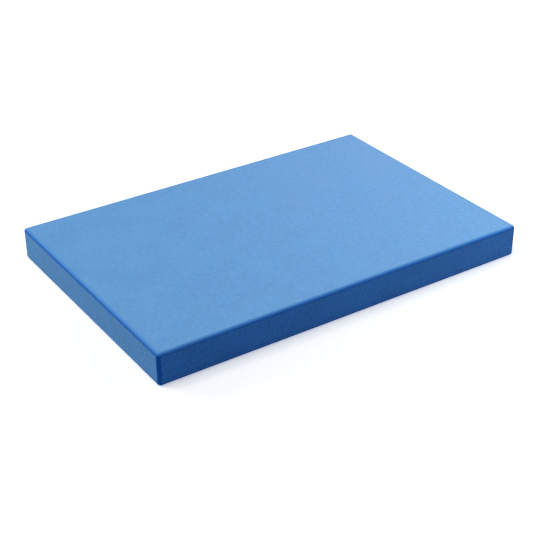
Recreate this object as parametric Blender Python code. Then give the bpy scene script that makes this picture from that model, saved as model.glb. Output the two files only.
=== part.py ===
"""Balance pad: a firm foam slab for standing exercises, bonded together from three foam sheets.

The pad is a stack, from the floor up: floor sheet, adhesive film, foam core, adhesive film, standing sheet.
The three foam pieces share one rounded outline, and the outer two carry the rounded-over long edges.
Units are metres, +Z is up, and the origin is the middle of the underside.
"""

import bmesh
import bpy

# Overall size of the pad
PAD_LENGTH = 0.3050
PAD_WIDTH = 0.2030
PAD_HEIGHT = 0.0250

# The stack: each layer has its own thickness, and the core takes the height that is left
STANDING_SHEET_THICKNESS = 0.0030
FLOOR_SHEET_THICKNESS = 0.0030
BOND_FILM_THICKNESS = 0.0003
LAYER_GAP = 0.0003

# Rounding of the outline as seen from above, and of the edges around the top and the underside
CORNER_RADIUS = 0.0024
TOP_EDGE_RADIUS = 0.0023
BOTTOM_EDGE_RADIUS = 0.0021
ROUND_SEGMENTS = 6
# What an edge rounding leaves of the wall or corner that it is cut into
MIN_REST_OF_WALL = 0.0001

# The adhesive stops short of the sheets' edges, so that none is squeezed out
BOND_EDGE_MARGIN = 0.0015

# Colour (linear RGB) and roughness of each material
FOAM_SKIN_COLOUR = (0.100, 0.280, 0.620)
FOAM_SKIN_ROUGHNESS = 0.60
FOAM_CORE_COLOUR = (0.085, 0.250, 0.580)
FOAM_CORE_ROUGHNESS = 0.75
ADHESIVE_COLOUR = (0.620, 0.580, 0.430)
ADHESIVE_ROUGHNESS = 0.35

COLLECTION_NAME = "balance_pad"
SHADE_ANGLE = 0.7


def clear_scene():
    """Remove every object that the scene starts with."""
    for old_object in list(bpy.data.objects):
        bpy.data.objects.remove(old_object, do_unlink=True)


def make_collection(name):
    """Return a new collection linked to the scene."""
    collection = bpy.data.collections.new(name)
    bpy.context.scene.collection.children.link(collection)
    return collection


def make_material(name, colour, roughness):
    """Return a Principled material with one colour and one roughness, and no metal."""
    material = bpy.data.materials.new(name)
    material.use_nodes = True
    shader = material.node_tree.nodes["Principled BSDF"]
    shader.inputs["Base Color"].default_value = (*colour, 1.0)
    shader.inputs["Roughness"].default_value = roughness
    shader.inputs["Metallic"].default_value = 0.0
    return material


def make_empty(name, collection):
    """Return an empty at the middle of the underside, on the upright line along which the pad gives."""
    empty = bpy.data.objects.new(name, None)
    empty.empty_display_size = PAD_HEIGHT
    collection.objects.link(empty)
    return empty


def round_edges(bm, edges, radius):
    """Round over the given edges."""
    bmesh.ops.bevel(
        bm,
        geom=edges,
        offset=radius,
        offset_type="OFFSET",
        affect="EDGES",
        segments=ROUND_SEGMENTS,
        profile=0.5,
        clamp_overlap=False,
    )


def upright_edges(bm):
    """Return the edges of a box that run from its underside to its top."""
    return [edge for edge in bm.edges if edge.verts[0].co.z != edge.verts[1].co.z]


def rim_edges(bm, height):
    """Return the outline's edges at one height."""
    return [edge for edge in bm.edges if all(vert.co.z == height for vert in edge.verts)]


def edge_radius_that_fits(radius, thickness, corner_radius):
    """Return an edge's radius, limited by the sheet's thickness and by the outline's corner."""
    return min(radius, thickness - MIN_REST_OF_WALL, corner_radius - MIN_REST_OF_WALL)


def slab_mesh(name, length, width, thickness, corner_radius, top_radius=0.0, bottom_radius=0.0):
    """Return a flat slab with rounded corners, its underside centred on the origin."""
    bm = bmesh.new()
    bmesh.ops.create_cube(bm, size=1.0)
    bmesh.ops.translate(bm, verts=bm.verts, vec=(0.0, 0.0, 0.5))
    bmesh.ops.scale(bm, verts=bm.verts, vec=(length, width, thickness))
    top_height = max(vert.co.z for vert in bm.verts)
    round_edges(bm, upright_edges(bm), corner_radius)
    if top_radius > 0.0:
        radius = edge_radius_that_fits(top_radius, thickness, corner_radius)
        round_edges(bm, rim_edges(bm, top_height), radius)
    if bottom_radius > 0.0:
        radius = edge_radius_that_fits(bottom_radius, thickness, corner_radius)
        round_edges(bm, rim_edges(bm, 0.0), radius)
    bmesh.ops.recalc_face_normals(bm, faces=bm.faces)
    mesh = bpy.data.meshes.new(name)
    bm.to_mesh(mesh)
    bm.free()
    mesh.shade_smooth()
    mesh.set_sharp_from_angle(angle=SHADE_ANGLE)
    return mesh


def place(name, mesh, material, height, parent, collection):
    """Put a piece in the stack with its underside at a height, and return the object."""
    mesh.materials.append(material)
    piece = bpy.data.objects.new(name, mesh)
    piece.location = (0.0, 0.0, height)
    piece.parent = parent
    collection.objects.link(piece)
    return piece


def bond_film_mesh(name):
    """Return an adhesive film, whose corners keep an even margin to the sheets' corners."""
    return slab_mesh(
        name,
        PAD_LENGTH - 2 * BOND_EDGE_MARGIN,
        PAD_WIDTH - 2 * BOND_EDGE_MARGIN,
        BOND_FILM_THICKNESS,
        max(CORNER_RADIUS - BOND_EDGE_MARGIN, MIN_REST_OF_WALL),
    )


def build_resting_layers(collection, foam_skin, foam_core, adhesive):
    """Build the layers that stay put: floor sheet, lower film and core. Return the core's top."""
    resting = make_empty("resting_layers", collection)
    mesh = slab_mesh(
        "floor_sheet",
        PAD_LENGTH,
        PAD_WIDTH,
        FLOOR_SHEET_THICKNESS,
        CORNER_RADIUS,
        bottom_radius=BOTTOM_EDGE_RADIUS,
    )
    place("floor_sheet", mesh, foam_skin, 0.0, resting, collection)

    film_bottom = FLOOR_SHEET_THICKNESS + LAYER_GAP
    place("lower_bond_film", bond_film_mesh("lower_bond_film"), adhesive, film_bottom, resting, collection)

    core_bottom = film_bottom + BOND_FILM_THICKNESS + LAYER_GAP
    core_top = PAD_HEIGHT - STANDING_SHEET_THICKNESS - BOND_FILM_THICKNESS - 2 * LAYER_GAP
    mesh = slab_mesh("foam_core", PAD_LENGTH, PAD_WIDTH, core_top - core_bottom, CORNER_RADIUS)
    place("foam_core", mesh, foam_core, core_bottom, resting, collection)
    return core_top


def build_pressed_layers(collection, core_top, foam_skin, adhesive):
    """Build the layers that sink under a foot as the core gives: upper film and standing sheet."""
    pressed = make_empty("pressed_layers", collection)
    film_bottom = core_top + LAYER_GAP
    place("upper_bond_film", bond_film_mesh("upper_bond_film"), adhesive, film_bottom, pressed, collection)

    mesh = slab_mesh(
        "standing_sheet",
        PAD_LENGTH,
        PAD_WIDTH,
        STANDING_SHEET_THICKNESS,
        CORNER_RADIUS,
        top_radius=TOP_EDGE_RADIUS,
    )
    sheet_bottom = film_bottom + BOND_FILM_THICKNESS + LAYER_GAP
    place("standing_sheet", mesh, foam_skin, sheet_bottom, pressed, collection)


def main():
    """Build the pad."""
    clear_scene()
    collection = make_collection(COLLECTION_NAME)
    foam_skin = make_material("foam_skin", FOAM_SKIN_COLOUR, FOAM_SKIN_ROUGHNESS)
    foam_core = make_material("foam_core", FOAM_CORE_COLOUR, FOAM_CORE_ROUGHNESS)
    adhesive = make_material("adhesive", ADHESIVE_COLOUR, ADHESIVE_ROUGHNESS)
    core_top = build_resting_layers(collection, foam_skin, foam_core, adhesive)
    build_pressed_layers(collection, core_top, foam_skin, adhesive)


main()
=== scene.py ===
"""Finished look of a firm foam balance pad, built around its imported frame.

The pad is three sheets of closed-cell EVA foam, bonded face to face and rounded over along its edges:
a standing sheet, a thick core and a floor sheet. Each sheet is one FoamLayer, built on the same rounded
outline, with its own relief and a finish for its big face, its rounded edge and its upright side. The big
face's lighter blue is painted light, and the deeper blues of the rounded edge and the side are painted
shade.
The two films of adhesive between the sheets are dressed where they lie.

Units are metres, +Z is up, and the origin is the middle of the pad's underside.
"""

from __future__ import annotations

import logging
import math
from dataclasses import dataclass, replace
from enum import Enum
from typing import Any, ClassVar

import bmesh
import bpy
from mathutils import Matrix, Vector


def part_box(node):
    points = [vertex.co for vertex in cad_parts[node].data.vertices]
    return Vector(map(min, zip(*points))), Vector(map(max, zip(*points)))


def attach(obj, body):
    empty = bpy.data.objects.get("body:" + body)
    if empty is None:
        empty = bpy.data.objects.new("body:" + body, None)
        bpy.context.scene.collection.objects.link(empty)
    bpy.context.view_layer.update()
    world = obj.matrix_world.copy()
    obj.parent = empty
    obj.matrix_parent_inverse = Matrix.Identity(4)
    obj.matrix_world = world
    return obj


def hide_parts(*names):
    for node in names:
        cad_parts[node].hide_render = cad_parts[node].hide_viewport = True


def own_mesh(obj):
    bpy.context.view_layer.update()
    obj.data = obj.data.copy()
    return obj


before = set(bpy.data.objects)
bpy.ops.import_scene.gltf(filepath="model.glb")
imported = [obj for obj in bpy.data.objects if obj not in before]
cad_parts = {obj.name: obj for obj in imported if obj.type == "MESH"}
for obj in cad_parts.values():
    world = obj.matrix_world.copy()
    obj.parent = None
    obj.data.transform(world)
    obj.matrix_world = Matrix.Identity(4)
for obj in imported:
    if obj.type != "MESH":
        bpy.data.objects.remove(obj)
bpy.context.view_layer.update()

LOG = logging.getLogger("balance_pad")

MM = 0.001
QUARTER_TURN = math.pi / 2

# Linear colour with alpha
Colour = tuple[float, float, float, float]
Tree = bpy.types.NodeTree
Socket = bpy.types.NodeSocket
Material = bpy.types.Material
Piece = bpy.types.Object

# Sockets of the Mix node in its colour mode, and of the Compare node in its whole-number mode, by their
# numbers, because they share their names with the other modes' sockets
MIX_A = 6
MIX_B = 7
MIX_RESULT = 2
COMPARE_A = 2
COMPARE_B = 3


# ---------------- colours and nodes


def linear(hex_colour: str) -> Colour:
    """Turn an sRGB hex colour into linear RGBA.

    Args:
        hex_colour: Six hex digits after a hash sign, such as "#3c78b4".

    Returns:
        Linear red, green and blue, and an alpha of one.
    """
    channels = [int(hex_colour[i : i + 2], 16) / 255.0 for i in (1, 3, 5)]
    curved = [c / 12.92 if c <= 0.04045 else ((c + 0.055) / 1.055) ** 2.4 for c in channels]
    return (*curved, 1.0)


def add_node(
    tree: Tree, kind: str, inputs: dict[str | int, Any] | None = None, **settings: Any
) -> bpy.types.Node:
    """Add a node to a tree, with its settings, its constant inputs and its links.

    Args:
        tree: Shader or geometry node tree that gets the node.
        kind: Blender's identifier of the node type.
        inputs: Input name or number to a constant, or to the output socket that is linked to it.
        **settings: Properties of the node itself.

    Returns:
        The new node.
    """
    node = tree.nodes.new(kind)
    for name, value in settings.items():
        setattr(node, name, value)
    for key, value in (inputs or {}).items():
        if isinstance(value, Socket):
            tree.links.new(value, node.inputs[key])
        else:
            node.inputs[key].default_value = value
    return node


def blank_material(name: str) -> Material:
    """Add a material whose node tree is empty.

    Args:
        name: Material name.

    Returns:
        The material.
    """
    material = bpy.data.materials.new(name)
    material.use_nodes = True
    material.node_tree.nodes.clear()
    return material


# ---------------- finishes


@dataclass(frozen=True)
class FoamFinish:
    """Surface of closed-cell EVA foam.

    The cells are far finer than the eye sees at arm's length, so the foam looks matt and even. How the
    surface was made decides the rest: a blade opens the cells, which leaves it dry, and a rounding cutter
    melts them shut, which leaves a denser and smoother edge. The big face's lighter blue is painted light,
    and the deeper blues of the sides and the rounded edges are painted shade. Real cells are about 0.1 mm
    across, too fine to show, so they are drawn eight to ten times as coarse.

    Attributes:
        name: Material name.
        colour: The foam's colour on this surface, with the light or shade painted into it where it has any.
        pale: Colour where the cells catch more light, in soft clouds and on the pebbling.
        pore: Darker colour down in the open cells, painted shade in their dimples.
        cloud_width: Size of the soft clouds, and cloud_share how far they go towards the pale colour.
        cell_width: Size of a cell as drawn, and pore_share how far it goes towards the pore colour.
        cell_depth: Depth of a cell's dimple.
        grain_width: Size of the pebbling over the cells, grain_share how far it goes towards the pale
            colour, and grain_depth its depth.
        roughness: Middle of the roughness, and roughness_swing how far the clouds take it up or down.
        specular: Specular level, at EVA's refractive index, below the usual 0.5 because open cells swallow
            the gloss.
        bloom: Weight of the chalky sheen, bloom_roughness its spread and bloom_tint its colour.
        turns: Colours along a rounded edge before it reaches its own colour, each with how far the edge has
            turned there, from 0 at the big face to 1 at the upright side: painted light at the shoulder,
            then painted shade as the edge turns away. Empty where the colour is even.
    """

    name: str
    colour: str
    pale: str
    pore: str
    cloud_width: float = 28.0 * MM
    cloud_share: float = 0.35
    cell_width: float = 0.8 * MM
    pore_share: float = 0.18
    cell_depth: float = 0.03 * MM
    grain_width: float = 2.6 * MM
    grain_share: float = 0.2
    grain_depth: float = 0.05 * MM
    roughness: float = 0.72
    roughness_swing: float = 0.06
    specular: float = 0.35
    bloom: float = 0.0
    bloom_roughness: float = 0.5
    bloom_tint: str = "#ffffff"
    turns: tuple[tuple[float, str], ...] = ()

    IOR: ClassVar[float] = 1.49
    # Part of a noise's range that is spread from 0 to 1, because its ends are hardly ever reached
    NOISE_RANGE: ClassVar[tuple[float, float]] = (0.3, 0.7)
    # Distances from a cell's middle, in cell widths, at which the pore's colour starts and is full
    WALL_TO_PORE: ClassVar[tuple[float, float]] = (0.5, 0.1)

    def material(self) -> Material:
        """Build the material's node tree.

        Returns:
            The finished material.
        """
        material = blank_material(self.name)
        tree = material.node_tree
        place = add_node(tree, "ShaderNodeTexCoord").outputs["Object"]
        clouds = self._noise(tree, place, self.cloud_width, detail=3.0)
        grain = self._noise(tree, place, self.grain_width, detail=2.0)
        cells = add_node(
            tree,
            "ShaderNodeTexVoronoi",
            {"Vector": place, "Scale": 1.0 / self.cell_width},
            feature="F1",
        ).outputs["Distance"]
        shader = add_node(
            tree,
            "ShaderNodeBsdfPrincipled",
            {
                "Base Color": self._colour(tree, clouds, grain, cells),
                "Roughness": self._roughness(tree, clouds),
                "Normal": self._bump(tree, grain, cells),
                "IOR": self.IOR,
                "Specular IOR Level": self.specular,
                "Sheen Weight": self.bloom,
                "Sheen Roughness": self.bloom_roughness,
                "Sheen Tint": linear(self.bloom_tint),
            },
        )
        add_node(tree, "ShaderNodeOutputMaterial", {"Surface": shader.outputs["BSDF"]})
        return material

    def _noise(self, tree: Tree, place: Socket, width: float, detail: float) -> Socket:
        """Add a noise.

        Args:
            tree: The material's node tree.
            place: Socket of the place on the object.
            width: Width of the noise's patches.
            detail: How many finer layers of noise lie over the patches.

        Returns:
            Socket of the noise, from 0 to 1.
        """
        noise = add_node(
            tree,
            "ShaderNodeTexNoise",
            {"Vector": place, "Scale": 1.0 / width, "Detail": detail},
            noise_dimensions="3D",
        )
        low, high = self.NOISE_RANGE
        spread = add_node(
            tree, "ShaderNodeMapRange", {"Value": noise.outputs["Fac"], "From Min": low, "From Max": high}
        )
        return spread.outputs["Result"]

    def _colour(self, tree: Tree, clouds: Socket, grain: Socket, cells: Socket) -> Socket:
        """Mix the colour: the base colour, paler in the clouds and grain and darker down in the cells with
        painted shade in their dimples.

        Args:
            tree: The material's node tree.
            clouds: Socket of the soft clouds.
            grain: Socket of the pebbling.
            cells: Socket of the distance from a cell's middle.

        Returns:
            Socket of the colour.
        """
        cloud_share = add_node(
            tree, "ShaderNodeMath", {0: clouds, 1: self.cloud_share}, operation="MULTIPLY"
        )
        pale_share = add_node(
            tree,
            "ShaderNodeMath",
            {0: grain, 1: self.grain_share, 2: cloud_share.outputs[0]},
            operation="MULTIPLY_ADD",
        )
        cloudy = add_node(
            tree,
            "ShaderNodeMix",
            {0: pale_share.outputs[0], MIX_A: self._base_colour_with_painted_edge_shading(tree), MIX_B: linear(self.pale)},
            data_type="RGBA",
        )
        wall, pore = self.WALL_TO_PORE
        pore_share = add_node(
            tree,
            "ShaderNodeMapRange",
            {"Value": cells, "From Min": wall, "From Max": pore, "To Max": self.pore_share},
        )
        pored = add_node(
            tree,
            "ShaderNodeMix",
            {0: pore_share.outputs[0], MIX_A: cloudy.outputs[MIX_RESULT], MIX_B: linear(self.pore)},
            data_type="RGBA",
        )
        return pored.outputs[MIX_RESULT]

    def _base_colour_with_painted_edge_shading(self, tree: Tree) -> Colour | Socket:
        """Give the base colour, which along a rounded edge is painted with light at the shoulder and then
        with shade as it turns.

        Args:
            tree: The material's node tree.

        Returns:
            The colour itself, or the socket of a colour that changes.
        """
        if not self.turns:
            return linear(self.colour)
        # The ramp paints light at the edge's shoulder and shade as it turns away from the big face.
        turned = add_node(tree, "ShaderNodeAttribute", attribute_name=LayerMesh.TURNED).outputs["Fac"]
        ramp = add_node(tree, "ShaderNodeValToRGB", {"Fac": turned})
        stops = ramp.color_ramp.elements
        colours = (*self.turns, (1.0, self.colour))
        while len(stops) < len(colours):
            stops.new(1.0)
        for stop, (position, colour) in zip(stops, colours):
            stop.position = position
            stop.color = linear(colour)
        return ramp.outputs["Color"]

    def _roughness(self, tree: Tree, clouds: Socket) -> Socket:
        """Swing the roughness up and down with the clouds.

        Args:
            tree: The material's node tree.
            clouds: Socket of the soft clouds.

        Returns:
            Socket of the roughness.
        """
        swing = add_node(
            tree,
            "ShaderNodeMapRange",
            {
                "Value": clouds,
                "To Min": self.roughness - self.roughness_swing,
                "To Max": self.roughness + self.roughness_swing,
            },
        )
        return swing.outputs["Result"]

    def _bump(self, tree: Tree, grain: Socket, cells: Socket) -> Socket:
        """Bend the normal by the cells' dimples on top of the pebbling.

        Args:
            tree: The material's node tree.
            grain: Socket of the pebbling.
            cells: Socket of the distance from a cell's middle.

        Returns:
            Socket of the normal.
        """
        pebbles = add_node(
            tree, "ShaderNodeBump", {"Height": grain, "Strength": 1.0, "Distance": self.grain_depth}
        )
        dimples = add_node(
            tree,
            "ShaderNodeBump",
            {
                "Height": cells,
                "Strength": 1.0,
                "Distance": self.cell_depth,
                "Normal": pebbles.outputs["Normal"],
            },
        )
        return dimples.outputs["Normal"]


@dataclass(frozen=True)
class AdhesiveFinish:
    """Dried contact adhesive, rolled on: an amber, half-clear rubbery film with the roller's stipple.

    Attributes:
        name: Material name.
        colour: Colour of the film, and thick where the stipple stands higher.
        stipple_width: Spacing of the stipple.
        stipple_depth: Height of the stipple.
        stipple_smoothness: How far the stipple's dabs run into each other.
        roughness: Roughness, which is low because the film dries glossy.
        transmission: Share of light that passes into the film.
    """

    name: str
    colour: str
    thick: str
    stipple_width: float = 2.2 * MM
    stipple_depth: float = 0.08 * MM
    stipple_smoothness: float = 0.6
    roughness: float = 0.32
    transmission: float = 0.25

    IOR: ClassVar[float] = 1.52

    def material(self) -> Material:
        """Build the material's node tree.

        Returns:
            The finished material.
        """
        material = blank_material(self.name)
        tree = material.node_tree
        place = add_node(tree, "ShaderNodeTexCoord").outputs["Object"]
        stipple = add_node(
            tree,
            "ShaderNodeTexVoronoi",
            {"Vector": place, "Scale": 1.0 / self.stipple_width, "Smoothness": self.stipple_smoothness},
            feature="SMOOTH_F1",
        ).outputs["Distance"]
        colour = add_node(
            tree,
            "ShaderNodeMix",
            {0: stipple, MIX_A: linear(self.thick), MIX_B: linear(self.colour)},
            data_type="RGBA",
        )
        bump = add_node(
            tree, "ShaderNodeBump", {"Height": stipple, "Strength": 1.0, "Distance": self.stipple_depth}
        )
        shader = add_node(
            tree,
            "ShaderNodeBsdfPrincipled",
            {
                "Base Color": colour.outputs[MIX_RESULT],
                "Roughness": self.roughness,
                "Normal": bump.outputs["Normal"],
                "IOR": self.IOR,
                "Transmission Weight": self.transmission,
            },
        )
        add_node(tree, "ShaderNodeOutputMaterial", {"Surface": shader.outputs["BSDF"]})
        return material


@dataclass(frozen=True)
class StudioFloorFinish:
    """White diffusing sheet of a product table, lit from below to soften the shadow on it.

    Attributes:
        name: Material name.
        colour: Colour of the sheet.
        roughness: Roughness of the sheet, which shows no gloss.
        glow: Strength of the light that comes up through it under the pad, and far_glow far from the pad.
        near: Distance from the pad's middle up to which the glow stays even, and far where it reaches
            far_glow.
    """

    name: str = "studio_diffuser"
    colour: str = "#f4f5f6"
    roughness: float = 0.95
    glow: float = 0.42
    far_glow: float = 0.95
    near: float = 0.45
    far: float = 1.6

    def material(self) -> Material:
        """Build the material's node tree.

        Returns:
            The finished material.
        """
        material = blank_material(self.name)
        tree = material.node_tree
        place = add_node(tree, "ShaderNodeTexCoord").outputs["Object"]
        away = add_node(tree, "ShaderNodeVectorMath", {0: place}, operation="LENGTH").outputs["Value"]
        glow = add_node(
            tree,
            "ShaderNodeMapRange",
            {
                "Value": away,
                "From Min": self.near,
                "From Max": self.far,
                "To Min": self.glow,
                "To Max": self.far_glow,
            },
        )
        shader = add_node(
            tree,
            "ShaderNodeBsdfPrincipled",
            {
                "Base Color": linear(self.colour),
                "Roughness": self.roughness,
                "Specular IOR Level": 0.0,
                "Emission Color": linear(self.colour),
                "Emission Strength": glow.outputs["Result"],
            },
        )
        add_node(tree, "ShaderNodeOutputMaterial", {"Surface": shader.outputs["BSDF"]})
        return material


# Sheets split from the block with a blade: dry and even, with a faint gloss at a low angle. Their blue is
# lighter than the sides', painted light of the lamps on the big face.
LIT_FACE = FoamFinish(
    name="eva_foam_face_painted_light",
    colour="#5d9bd8",
    pale="#6eade7",
    pore="#4d87c3",
    pore_share=0.25,
    grain_share=0.45,
    grain_depth=0.08 * MM,
    roughness=0.65,
    specular=0.25,
)

# The pad's upright sides, sawn and left as they are: their blue is darker than the big face's, painted
# shade of the sides turned away from the lamps, and their torn walls leave a chalky bloom where light
# comes from behind.
SHADED_SIDE = FoamFinish(
    name="eva_foam_side_painted_shade",
    colour="#0f4690",
    pale="#1959a8",
    pore="#05285c",
    cell_width=1.0 * MM,
    cell_depth=0.17 * MM,
    grain_share=0.45,
    grain_depth=0.12 * MM,
    pore_share=0.5,
    roughness=0.85,
    specular=0.0,
    bloom=0.46,
    bloom_tint="#bbfdff",
)

# Edges rounded over with a fast cutter, whose heat closes the cells: no chalk is left on them. As the edge
# turns, its colour is painted with light at the shoulder and then with shade, deepening from the big face's
# blue to one darker than the side's; the upright corners take that dark painted shade too.
SHADED_EDGE = FoamFinish(
    name="eva_foam_edge_painted_light_and_shade",
    colour="#08428f",
    pale="#2c68b4",
    pore="#0a3a84",
    cloud_share=0.04,
    cell_depth=0.01 * MM,
    grain_share=0.04,
    grain_depth=0.02 * MM,
    pore_share=0.1,
    roughness=0.6,
    roughness_swing=0.04,
    specular=0.02,
    turns=((0.0, "#62a0dc"), (0.3, "#5698e0"), (0.6, "#316fc1")),
)

# Faces against the adhesive, scuffed so that it holds: dull, pale and ragged, and covered by the next sheet.
SCUFFED_BOND = FoamFinish(
    name="eva_foam_scuffed_bond",
    colour="#3872b4",
    pale="#5b93cf",
    pore="#24568f",
    cell_depth=0.08 * MM,
    pore_share=0.4,
    roughness=0.9,
    roughness_swing=0.05,
)

# Contact adhesive, rolled thin on both faces and left to dry before they are pressed together: amber, glossy
# and half clear.
DRIED_ADHESIVE = AdhesiveFinish(name="dried_contact_adhesive", colour="#c9b98c", thick="#b49b62")


# ---------------- shape of a foam layer


class Surface(Enum):
    """Part of a foam layer's surface, whose value is the number that its faces carry."""

    FACE = 0
    EDGE = 1
    SIDE = 2
    BOND = 3


FOAM_FINISHES = {
    Surface.FACE: LIT_FACE,
    Surface.EDGE: SHADED_EDGE,
    Surface.SIDE: SHADED_SIDE,
    Surface.BOND: SCUFFED_BOND,
}


class Rim(Enum):
    """How a foam layer's face meets its upright side."""

    ROUNDED = "rounded"
    BONDED = "bonded"


@dataclass(frozen=True)
class RimPoint:
    """One point of a rim's section, seen from the middle of the face outwards.

    Attributes:
        inset: Distance in from the outline.
        depth: Distance from the layer's face into the layer.
        surface: Surface of the band between this point and the one before it.
        relief: Share of the relief that this point takes, from 0 to 1.
        turned: How far the surface has turned from the big face, at 0, to the upright side, at 1.
    """

    inset: float
    depth: float
    surface: Surface
    relief: float
    turned: float = 1.0


@dataclass(frozen=True)
class Outline:
    """Rounded rectangle that the three foam layers share.

    Attributes:
        length: Extent along X.
        width: Extent along Y.
        corner_radius: Radius of the upright corners.
        pitch: Spacing of the mesh over the faces.
        corner_steps: Steps in a quarter turn at a corner.
    """

    length: float
    width: float
    corner_radius: float
    pitch: float = 1.5 * MM
    corner_steps: int = 8

    @property
    def straight(self) -> tuple[float, float]:
        """Return the lengths of the outline's straight stretches along X and Y."""
        return self.length - 2 * self.corner_radius, self.width - 2 * self.corner_radius

    @property
    def cells(self) -> tuple[int, int]:
        """Return how many mesh cells fit along X and along Y."""
        return tuple(round(stretch / self.pitch) for stretch in self.straight)

    def ring(self, inset: float, height: float) -> list[Vector]:
        """Lay the outline's points, anticlockwise from the front left corner.

        The straight stretches keep their points at every inset, so a face's grid meets its rim all along.

        Args:
            inset: Distance in from the outline.
            height: Height of the points.

        Returns:
            The points of the ring.
        """
        half_x, half_y = (stretch / 2 for stretch in self.straight)
        cells_x, cells_y = self.cells
        radius = self.corner_radius - inset
        corners = [(-half_x, -half_y), (half_x, -half_y), (half_x, half_y), (-half_x, half_y)]
        points = []
        for number, (x, y) in enumerate(corners):
            start = math.pi + number * QUARTER_TURN
            for step in range(self.corner_steps + 1):
                angle = start + step / self.corner_steps * QUARTER_TURN
                points.append(Vector((x + radius * math.cos(angle), y + radius * math.sin(angle), height)))
            last = points[-1]
            next_x, next_y = corners[(number + 1) % len(corners)]
            stretch = Vector((next_x - x, next_y - y, 0.0))
            cells = cells_y if number % 2 else cells_x
            points += [last + stretch * (cell / cells) for cell in range(1, cells)]
        return points

    def turning(self) -> list[bool]:
        """Tell which steps from one point of a ring to the next turn round a corner.

        Returns:
            Whether each step turns, in the ring's order.
        """
        cells_x, cells_y = self.cells
        steps = []
        for number in range(4):
            steps += [True] * self.corner_steps
            steps += [False] * (cells_y if number % 2 else cells_x)
        return steps

    def grid(self, height: float) -> list[list[Vector]]:
        """Lay the points that fill the rectangle between the corners' centres.

        Args:
            height: Height of the points.

        Returns:
            Rows of points, from the front to the back.
        """
        span_x, span_y = self.straight
        cells_x, cells_y = self.cells
        return [
            [
                Vector(((column / cells_x - 0.5) * span_x, (row / cells_y - 0.5) * span_y, height))
                for column in range(cells_x + 1)
            ]
            for row in range(cells_y + 1)
        ]


class LayerMesh:
    """Closed mesh of one foam layer, laid as bands around the outline and a grid on each face."""

    MERGE: ClassVar[float] = 0.001 * MM
    SHARP_ANGLE: ClassVar[float] = math.radians(40.0)
    WRAP_MAP: ClassVar[str] = "wrap"
    RELIEF: ClassVar[str] = "relief"
    TURNED: ClassVar[str] = "turned"
    SURFACE: ClassVar[str] = "surface"

    def __init__(self, outline: Outline) -> None:
        """Start an empty mesh.

        Args:
            outline: Outline of the layer.
        """
        self.outline = outline
        self.bm = bmesh.new()
        self.wrap = self.bm.loops.layers.uv.new(self.WRAP_MAP)
        self.relief = self.bm.verts.layers.float.new(self.RELIEF)
        self.turned = self.bm.verts.layers.float.new(self.TURNED)
        self.surface = self.bm.faces.layers.int.new(self.SURFACE)

    def _vert(self, place: Vector, relief: float, turned: float) -> bmesh.types.BMVert:
        """Add a vertex.

        Args:
            place: Where it is.
            relief: Its share of the relief.
            turned: How far the surface has turned at it.

        Returns:
            The vertex.
        """
        vert = self.bm.verts.new(place)
        vert[self.relief] = relief
        vert[self.turned] = turned
        return vert

    def _face(
        self, corners: list[bmesh.types.BMVert], wraps: list[tuple[float, float]], surface: Surface
    ) -> None:
        """Add a face.

        Args:
            corners: Its vertices.
            wraps: Each corner's place on the wrap map.
            surface: Surface that it belongs to.
        """
        face = self.bm.faces.new(corners)
        face[self.surface] = surface.value
        for loop, wrap in zip(face.loops, wraps):
            loop[self.wrap].uv = wrap

    def add_bands(self, section: list[RimPoint], heights: list[float]) -> None:
        """Lay the bands between one ring of points and the next, all the way round the outline.

        Args:
            section: Points of the layer's section from the middle of the top to the middle of the underside.
            heights: Height of each of those points.
        """
        rings = []
        down = [0.0]
        for number, (point, height) in enumerate(zip(section, heights)):
            places = self.outline.ring(point.inset, height)
            rings.append([self._vert(place, point.relief, point.turned) for place in places])
            if number:
                step = math.hypot(point.inset - section[number - 1].inset, height - heights[number - 1])
                down.append(down[-1] + step)
        outer = self.outline.ring(0.0, 0.0)
        along = [0.0]
        for here, after in zip(outer, outer[1:] + outer[:1]):
            along.append(along[-1] + (after - here).length)
        for number in range(1, len(rings)):
            upper, lower = rings[number - 1], rings[number]
            high, low = down[number - 1], down[number]
            for i, turns in enumerate(self.outline.turning()):
                j = (i + 1) % len(outer)
                left, right = along[i], along[i + 1]
                surface = section[number].surface
                # An upright corner takes the rounded edge's dark colour, painted shade.
                if surface is Surface.SIDE and turns:
                    surface = Surface.EDGE
                corners = [upper[i], lower[i], lower[j], upper[j]]
                self._face(corners, [(left, high), (left, low), (right, low), (right, high)], surface)

    def add_face_grid(self, height: float, surface: Surface, relief: float, faces_up: bool) -> None:
        """Fill the middle of a face with a grid.

        Args:
            height: Height of the face.
            surface: Surface that the face is.
            relief: Share of the relief that the face takes.
            faces_up: Whether the face looks up.
        """
        rows = [[self._vert(place, relief, 0.0) for place in row] for row in self.outline.grid(height)]
        for near, far in zip(rows, rows[1:]):
            for i in range(len(near) - 1):
                corners = [near[i], near[i + 1], far[i + 1], far[i]]
                if not faces_up:
                    corners.reverse()
                self._face(corners, [(vert.co.x, vert.co.y) for vert in corners], surface)

    def finish(self, name: str) -> Piece:
        """Close the mesh and make an object of it.

        Args:
            name: Name of the object and its mesh.

        Returns:
            The object, at the origin, with its place in its mesh.
        """
        bmesh.ops.remove_doubles(self.bm, verts=self.bm.verts, dist=self.MERGE)
        mesh = bpy.data.meshes.new(name)
        self.bm.to_mesh(mesh)
        self.bm.free()
        mesh.shade_smooth()
        mesh.set_sharp_from_angle(angle=self.SHARP_ANGLE)
        piece = bpy.data.objects.new(name, mesh)
        bpy.context.scene.collection.objects.link(piece)
        return piece


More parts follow.
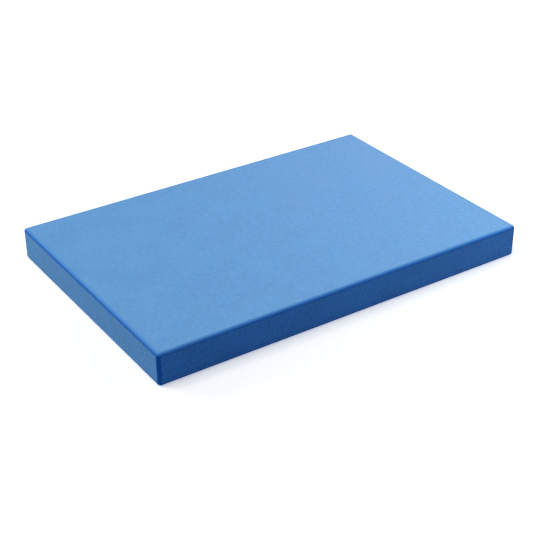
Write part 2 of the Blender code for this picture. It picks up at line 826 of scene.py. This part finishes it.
class FoamRelief:
    """Geometry Nodes tree that works a foam layer's surface and gives each part of it its finish.

    The tree sinks each point along its normal by two noises, a slow wave left by the splitting blade and a
    fine pebbling. It only takes material away, so a layer never grows past its frame or into the floor.
    """

    NAME: ClassVar[str] = "foam_relief"
    DETAIL: ClassVar[float] = 1.5

    def __init__(self) -> None:
        """Build the tree once, for all the layers."""
        self.tree = bpy.data.node_groups.new(self.NAME, "GeometryNodeTree")
        self._add_sockets()
        self._build()

    def _add_sockets(self) -> None:
        """Name the tree's inputs and its output."""
        interface = self.tree.interface
        interface.new_socket("Foam", in_out="INPUT", socket_type="NodeSocketGeometry")
        for name in ("Wave Width", "Wave Depth", "Pebble Width", "Pebble Depth", "Seed"):
            interface.new_socket(name, in_out="INPUT", socket_type="NodeSocketFloat")
        for surface in Surface:
            name = self._finish_socket(surface)
            interface.new_socket(name, in_out="INPUT", socket_type="NodeSocketMaterial")
        interface.new_socket("Foam", in_out="OUTPUT", socket_type="NodeSocketGeometry")

    @staticmethod
    def _finish_socket(surface: Surface) -> str:
        """Return the name of the input that takes a surface's material."""
        return f"{surface.name.title()} Finish"

    def _sunk(self, place: Socket, width: Socket, depth: Socket, seed: Socket) -> Socket:
        """Sink each point by a noise.

        Args:
            place: Socket of the point's place.
            width: Socket of the width of the noise's patches.
            depth: Socket of the depth of the deepest patch.
            seed: Socket of the noise's seed.

        Returns:
            Socket of how far each point sinks.
        """
        scale = add_node(self.tree, "ShaderNodeMath", {0: 1.0, 1: width}, operation="DIVIDE")
        noise = add_node(
            self.tree,
            "ShaderNodeTexNoise",
            {"Vector": place, "W": seed, "Scale": scale.outputs[0], "Detail": self.DETAIL},
            noise_dimensions="4D",
        )
        sunk = add_node(
            self.tree, "ShaderNodeMath", {0: noise.outputs["Fac"], 1: depth}, operation="MULTIPLY"
        )
        return sunk.outputs[0]

    def _build(self) -> None:
        """Lay and link the nodes."""
        given = add_node(self.tree, "NodeGroupInput").outputs
        place = add_node(self.tree, "GeometryNodeInputPosition").outputs[0]
        wave = self._sunk(place, given["Wave Width"], given["Wave Depth"], given["Seed"])
        pebble = self._sunk(place, given["Pebble Width"], given["Pebble Depth"], given["Seed"])
        both = add_node(self.tree, "ShaderNodeMath", {0: wave, 1: pebble}, operation="ADD")
        share = add_node(
            self.tree, "GeometryNodeInputNamedAttribute", {"Name": LayerMesh.RELIEF}, data_type="FLOAT"
        )
        depth = add_node(
            self.tree,
            "ShaderNodeMath",
            {0: both.outputs[0], 1: share.outputs["Attribute"]},
            operation="MULTIPLY",
        )
        inward = add_node(self.tree, "ShaderNodeMath", {0: depth.outputs[0], 1: -1.0}, operation="MULTIPLY")
        normal = add_node(self.tree, "GeometryNodeInputNormal").outputs[0]
        offset = add_node(
            self.tree, "ShaderNodeVectorMath", {0: normal, "Scale": inward.outputs[0]}, operation="SCALE"
        )
        moved = add_node(
            self.tree, "GeometryNodeSetPosition", {"Geometry": given["Foam"], "Offset": offset.outputs[0]}
        )
        real = add_node(self.tree, "GeometryNodeRealizeInstances", {"Geometry": moved.outputs[0]})
        number = add_node(
            self.tree, "GeometryNodeInputNamedAttribute", {"Name": LayerMesh.SURFACE}, data_type="INT"
        )
        foam = real.outputs[0]
        for surface in Surface:
            here = add_node(
                self.tree,
                "FunctionNodeCompare",
                {COMPARE_A: number.outputs["Attribute"], COMPARE_B: surface.value},
                data_type="INT",
                operation="EQUAL",
            )
            foam = add_node(
                self.tree,
                "GeometryNodeSetMaterial",
                {
                    "Geometry": foam,
                    "Selection": here.outputs[0],
                    "Material": given[self._finish_socket(surface)],
                },
            ).outputs[0]
        add_node(self.tree, "NodeGroupOutput", {"Foam": foam})

    def work(self, piece: Piece, sizes: dict[str, float], materials: dict[Surface, Material]) -> None:
        """Work a layer's surface, and leave a plain mesh on its object.

        Args:
            piece: Object of the layer.
            sizes: The tree's number inputs, by name.
            materials: Material of each Surface.
        """
        values = dict(sizes)
        for surface, material in materials.items():
            values[self._finish_socket(surface)] = material
        modifier = piece.modifiers.new(self.NAME, "NODES")
        modifier.node_group = self.tree
        for item in self.tree.interface.items_tree:
            if item.in_out == "INPUT" and item.name in values:
                modifier[item.identifier] = values[item.name]
        graph = bpy.context.evaluated_depsgraph_get()
        worked = bpy.data.meshes.new_from_object(piece.evaluated_get(graph), depsgraph=graph)
        plain = piece.data
        piece.modifiers.remove(modifier)
        piece.data = worked
        bpy.data.meshes.remove(plain)
        worked.name = piece.name


# ---------------- the pad's pieces


@dataclass
class FoamLayer:
    """One foam layer of the pad.

    Attributes:
        name: Name of the finished piece.
        node: Frame node that the piece stands for.
        body: Frame body that it rides on.
        slot: The record's material slot; not used.
        outline: Outline of the pad.
        bottom: Height of its underside, and top the height of its upper side, seams included.
        upper: Rim around its upper side, and lower the one around its underside.
        edge_radius: Radius of its rounded rim, where it has one.
        edge_steps: Steps in a rounded rim's quarter turn.
        edge_fade: Share of the quarter turn along which the face's colour gives way to the side's, painting
            light and shade along the rounded edge.
        lip_width: Width of the lip that closes over the adhesive at a bonded rim.
        seam_gap: Gap that a lip keeps to the seam's middle plane.
        seam_break: Tiny rounding where a lip meets the side.
        side_step: Height of the mesh's bands on the side.
        wave_width: Width of the splitting blade's waves, and wave_depth their depth.
        pebble_width: Width of the pebbling, and pebble_depth its depth.
        seed: Seed of both.
    """

    name: str
    node: str
    body: str
    slot: str
    outline: Outline
    bottom: float
    top: float
    upper: Rim = Rim.BONDED
    lower: Rim = Rim.BONDED
    edge_radius: float = 0.0
    edge_steps: int = 10
    edge_fade: float = 1.0
    lip_width: float = 1.3 * MM
    seam_gap: float = 0.02 * MM
    seam_break: float = 0.06 * MM
    side_step: float = 0.9 * MM
    wave_width: float = 45.0 * MM
    wave_depth: float = 0.10 * MM
    pebble_width: float = 5.0 * MM
    pebble_depth: float = 0.03 * MM
    seed: float = 0.0

    def _rounded_rim(self) -> list[RimPoint]:
        """Draw the section of a rim that is rounded over.

        Returns:
            The section's points.
        """
        points = [RimPoint(self.outline.corner_radius, 0.0, Surface.FACE, 1.0, 0.0)]
        for step in range(self.edge_steps + 1):
            share = step / self.edge_steps
            angle = share * QUARTER_TURN
            inset = self.edge_radius * (1 - math.sin(angle))
            depth = self.edge_radius * (1 - math.cos(angle))
            surface = Surface.EDGE if step else Surface.FACE
            points.append(RimPoint(inset, depth, surface, 1.0, min(share / self.edge_fade, 1.0)))
        return points

    def _bonded_rim(self, seat_depth: float) -> list[RimPoint]:
        """Draw the section of a rim that closes over the adhesive.

        Args:
            seat_depth: Depth of the seat that holds the film.

        Returns:
            The section's points.
        """
        return [
            RimPoint(self.outline.corner_radius, seat_depth, Surface.BOND, 0.0),
            RimPoint(self.lip_width, seat_depth, Surface.BOND, 0.0),
            RimPoint(self.lip_width, self.seam_gap, Surface.BOND, 0.0),
            RimPoint(self.seam_break, self.seam_gap, Surface.BOND, 0.0),
            RimPoint(0.0, self.seam_gap + self.seam_break, Surface.SIDE, 0.0),
        ]

    def _rim(self, rim: Rim, seat_depth: float) -> list[RimPoint]:
        """Return the section of a rim of either kind."""
        return self._rounded_rim() if rim is Rim.ROUNDED else self._bonded_rim(seat_depth)

    def _side(self, high: float, low: float) -> tuple[list[RimPoint], list[float]]:
        """Lay the points between the two rims, down the upright side.

        Args:
            high: Height of the upper rim's last point.
            low: Height of the lower rim's last point.

        Returns:
            The points, and their heights.
        """
        steps = max(2, round((high - low) / self.side_step))
        heights = [high + (low - high) * step / steps for step in range(1, steps)]
        return [RimPoint(0.0, 0.0, Surface.SIDE, 1.0) for _ in heights], heights

    def build(self) -> Piece:
        """Build the layer's plain mesh.

        Returns:
            The layer's object.
        """
        low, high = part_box(self.node)
        upper = self._rim(self.upper, self.top - high.z)
        lower = self._rim(self.lower, low.z - self.bottom)
        upper_heights = [self.top - point.depth for point in upper]
        lower_heights = [self.bottom + point.depth for point in lower]
        side, side_heights = self._side(upper_heights[-1], lower_heights[-1])
        # A band belongs to the point at its lower end, so each surface of the lower rim moves down by one
        surfaces = [Surface.SIDE] + [point.surface for point in reversed(lower[1:])]
        flipped = [replace(point, surface=surface) for point, surface in zip(reversed(lower), surfaces)]
        mesh = LayerMesh(self.outline)
        mesh.add_bands(upper + side + flipped, upper_heights + side_heights + lower_heights[::-1])
        mesh.add_face_grid(upper_heights[0], upper[0].surface, upper[0].relief, faces_up=True)
        mesh.add_face_grid(lower_heights[0], lower[0].surface, lower[0].relief, faces_up=False)
        return mesh.finish(self.name)

    def dress(self, piece: Piece, relief: FoamRelief, materials: dict[Surface, Material]) -> None:
        """Give the layer its worked surface and its finishes.

        Args:
            piece: The layer's object.
            relief: The tree that works the surface.
            materials: Material of each Surface.
        """
        sizes = {
            "Wave Width": self.wave_width,
            "Wave Depth": self.wave_depth,
            "Pebble Width": self.pebble_width,
            "Pebble Depth": self.pebble_depth,
            "Seed": self.seed,
        }
        relief.work(piece, sizes, materials)

    def join(self, piece: Piece) -> None:
        """Put the layer in its place in the frame.

        Args:
            piece: The layer's object.
        """
        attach(piece, self.body)
        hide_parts(self.node)
        LOG.info("%s: %d faces, rides on %s", piece.name, len(piece.data.polygons), self.body)


@dataclass
class FoamStack:
    """The three foam layers, and the seams between them.

    Attributes:
        corner_radius: Radius of the upright corners.
        top_radius: Radius of the rounded edge around the top.
        bottom_radius: Radius of the rounded edge around the underside, and bottom_fade the share of its
            quarter turn along which the face's colour gives way to the side's, which paints shade on the
            outer part of that edge.
    """

    corner_radius: float = 2.4 * MM
    top_radius: float = 2.3 * MM
    bottom_radius: float = 2.1 * MM
    bottom_fade: float = 0.5

    @staticmethod
    def seam(below: str, above: str) -> float:
        """Return the height of the seam between two nodes, midway in the film's space."""
        return (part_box(below)[1].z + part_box(above)[0].z) / 2

    def layers(self) -> list[FoamLayer]:
        """Lay out the layers between the frame's faces and the seams.

        Returns:
            The layers, from the floor up.
        """
        low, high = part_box("floor_sheet")
        outline = Outline(high.x - low.x, high.y - low.y, self.corner_radius)
        lower_seam = self.seam("floor_sheet", "foam_core")
        upper_seam = self.seam("foam_core", "standing_sheet")
        return [
            FoamLayer(
                name="floor_foam",
                node="floor_sheet",
                body="base",
                slot="foam_skin",
                outline=outline,
                bottom=low.z,
                top=lower_seam,
                lower=Rim.ROUNDED,
                edge_radius=self.bottom_radius,
                # The floor sheet's rounded edge reaches its dark colour halfway round: painted shade along
                # the bottom.
                edge_fade=self.bottom_fade,
                seed=1.0,
            ),
            FoamLayer(
                name="core_foam",
                node="foam_core",
                body="base",
                slot="foam_core",
                outline=outline,
                bottom=lower_seam,
                top=upper_seam,
                seed=2.0,
            ),
            FoamLayer(
                name="standing_foam",
                node="standing_sheet",
                body="tread",
                slot="foam_skin",
                outline=outline,
                bottom=upper_seam,
                top=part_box("standing_sheet")[1].z,
                upper=Rim.ROUNDED,
                edge_radius=self.top_radius,
                seed=3.0,
            ),
        ]

    def make(self) -> None:
        """Build, dress and join every layer."""
        relief = FoamRelief()
        materials = {surface: finish.material() for surface, finish in FOAM_FINISHES.items()}
        for layer in self.layers():
            piece = layer.build()
            layer.dress(piece, relief, materials)
            layer.join(piece)
            if layer.node == "foam_core":
                self.press(piece, layer)

    @staticmethod
    def press(piece: Piece, layer: FoamLayer) -> None:
        """Give the core's object its own copy of its mesh.

        Args:
            piece: The core's object.
            layer: The core's layer; not used.
        """
        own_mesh(piece)


@dataclass
class BondFilms:
    """The two films of adhesive, kept as the frame has them and given their finish.

    Attributes:
        nodes: Frame nodes of the films.
        finish: Finish of both.
    """

    nodes: tuple[str, ...] = ("lower_bond_film", "upper_bond_film")
    finish: AdhesiveFinish = DRIED_ADHESIVE

    def dress(self) -> None:
        """Put the adhesive's material in each film's slot."""
        material = self.finish.material()
        for name in self.nodes:
            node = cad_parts[name]
            node.data.materials.clear()
            node.data.materials.append(material)
            LOG.info("%s: dressed as %s", name, material.name)


# ---------------- studio


def standing_at(azimuth: float, elevation: float, distance: float, aim: Vector) -> Vector:
    """Return the point that stands at a direction and a distance from the point it looks at.

    Args:
        azimuth: Direction in plan, in degrees anticlockwise from +X.
        elevation: Degrees above the horizon.
        distance: Distance from the aim.
        aim: The point looked at.

    Returns:
        The point.
    """
    turn, rise = math.radians(azimuth), math.radians(elevation)
    away = Vector((math.cos(turn) * math.cos(rise), math.sin(turn) * math.cos(rise), math.sin(rise)))
    return aim + away * distance


def looking(place: Vector, aim: Vector, roll: float = 0.0) -> Matrix:
    """Return the pose of a camera or light that looks at a point, rolled by some degrees about its sight."""
    turn = (aim - place).to_track_quat("-Z", "Y").to_matrix().to_4x4()
    return Matrix.Translation(place) @ turn @ Matrix.Rotation(math.radians(roll), 4, "Z")


@dataclass(frozen=True)
class Softbox:
    """One rectangular soft light that faces the pad.

    Attributes:
        name: Name of the light.
        azimuth: Direction in plan that it stands in, in degrees anticlockwise from +X.
        elevation: Degrees above the horizon.
        distance: Distance from the pad.
        size: Width and height of its face.
        power: Power in watts.
    """

    name: str
    azimuth: float
    elevation: float
    distance: float
    size: tuple[float, float]
    power: float

    def build(self) -> None:
        """Add the light to the scene."""
        light = bpy.data.lights.new(self.name, "AREA")
        light.shape = "RECTANGLE"
        light.size, light.size_y = self.size
        light.energy = self.power
        lamp = bpy.data.objects.new(self.name, light)
        pad = Vector((0.0, 0.0, 0.0))
        lamp.matrix_world = looking(standing_at(self.azimuth, self.elevation, self.distance, pad), pad)
        bpy.context.scene.collection.objects.link(lamp)


@dataclass(frozen=True)
class ProductCamera:
    """Camera that looks down on the pad across its front corner.

    Attributes:
        azimuth: Direction in plan that it stands in, in degrees anticlockwise from +X.
        elevation: Degrees above the horizon.
        distance: Distance from the aim.
        aim: Point at the middle of the view.
        roll: Turn about the line of sight, in degrees.
        lens: Focal length in millimetres, and sensor the width of the film.
        clip: Nearest and farthest distance that it takes in.
    """

    azimuth: float = 236.46
    elevation: float = 30.14
    distance: float = 0.934
    aim: tuple[float, float, float] = (-0.0072, -0.0066, -0.0038)
    roll: float = -0.325
    lens: float = 84.33
    sensor: float = 36.0
    clip: tuple[float, float] = (0.01, 50.0)

    def build(self) -> None:
        """Add the camera and make it the scene's camera."""
        camera = bpy.data.cameras.new("product_camera")
        camera.lens = self.lens
        camera.sensor_width = self.sensor
        camera.clip_start, camera.clip_end = self.clip
        holder = bpy.data.objects.new("product_camera", camera)
        aim = Vector(self.aim)
        place = standing_at(self.azimuth, self.elevation, self.distance, aim)
        holder.matrix_world = looking(place, aim, self.roll)
        bpy.context.scene.collection.objects.link(holder)
        bpy.context.scene.camera = holder


@dataclass
class Studio:
    """White floor, surrounding light, softboxes and camera.

    Attributes:
        floor_size: Side of the square floor.
        floor_finish: Finish of the floor.
        sky: Colour of the surrounding light, and sky_strength its strength overhead.
        horizon_strength: Strength of the surrounding light at the horizon.
        horizon_height: Sine of the elevation at which the horizon's light has run out.
        softboxes: The lights.
        camera: The camera.
    """

    floor_size: float = 12.0
    floor_finish: StudioFloorFinish = StudioFloorFinish()
    sky: str = "#ffffff"
    sky_strength: float = 0.1
    horizon_strength: float = 0.85
    horizon_height: float = 0.13
    softboxes: tuple[Softbox, ...] = (
        Softbox("left_key", azimuth=160.0, elevation=65.0, distance=2.5, size=(1.5, 1.5), power=31.3),
        Softbox("right_rim", azimuth=40.0, elevation=15.0, distance=2.5, size=(1.5, 1.5), power=32.0),
        Softbox("left_rim", azimuth=120.0, elevation=15.0, distance=2.5, size=(1.5, 1.5), power=38.0),
        Softbox("right_fill", azimuth=325.0, elevation=28.0, distance=0.5, size=(0.35, 0.35), power=0.85),
    )
    camera: ProductCamera = ProductCamera()

    def _lay_floor(self) -> None:
        """Lay the floor under the pad."""
        bm = bmesh.new()
        bmesh.ops.create_grid(bm, x_segments=1, y_segments=1, size=self.floor_size / 2)
        mesh = bpy.data.meshes.new("studio_floor")
        bm.to_mesh(mesh)
        bm.free()
        mesh.materials.append(self.floor_finish.material())
        floor = bpy.data.objects.new("studio_floor", mesh)
        bpy.context.scene.collection.objects.link(floor)

    def _light_sky(self) -> None:
        """Surround the scene with even light that grows brighter at the horizon."""
        world = bpy.data.worlds.new("studio_sky")
        world.use_nodes = True
        tree = world.node_tree
        tree.nodes.clear()
        direction = add_node(tree, "ShaderNodeTexCoord").outputs["Generated"]
        upward = add_node(tree, "ShaderNodeSeparateXYZ", {"Vector": direction}).outputs["Z"]
        strength = add_node(
            tree,
            "ShaderNodeMapRange",
            {
                "Value": upward,
                "From Max": self.horizon_height,
                "To Min": self.horizon_strength,
                "To Max": self.sky_strength,
            },
        )
        background = add_node(
            tree, "ShaderNodeBackground", {"Color": linear(self.sky), "Strength": strength.outputs["Result"]}
        )
        add_node(tree, "ShaderNodeOutputWorld", {"Surface": background.outputs["Background"]})
        bpy.context.scene.world = world

    def build(self) -> None:
        """Set up the whole studio."""
        self._lay_floor()
        self._light_sky()
        for softbox in self.softboxes:
            softbox.build()
        self.camera.build()
        bpy.context.scene.view_settings.view_transform = "Standard"
        bpy.context.scene.view_settings.look = "None"
        LOG.info("studio: %d softboxes, lens %.1f mm", len(self.softboxes), self.camera.lens)


def main() -> None:
    """Build the pad and its studio."""
    logging.basicConfig(level=logging.INFO, format="%(name)s: %(message)s")
    FoamStack().make()
    BondFilms().dress()
    Studio().build()


if __name__ == "__main__":
    main()
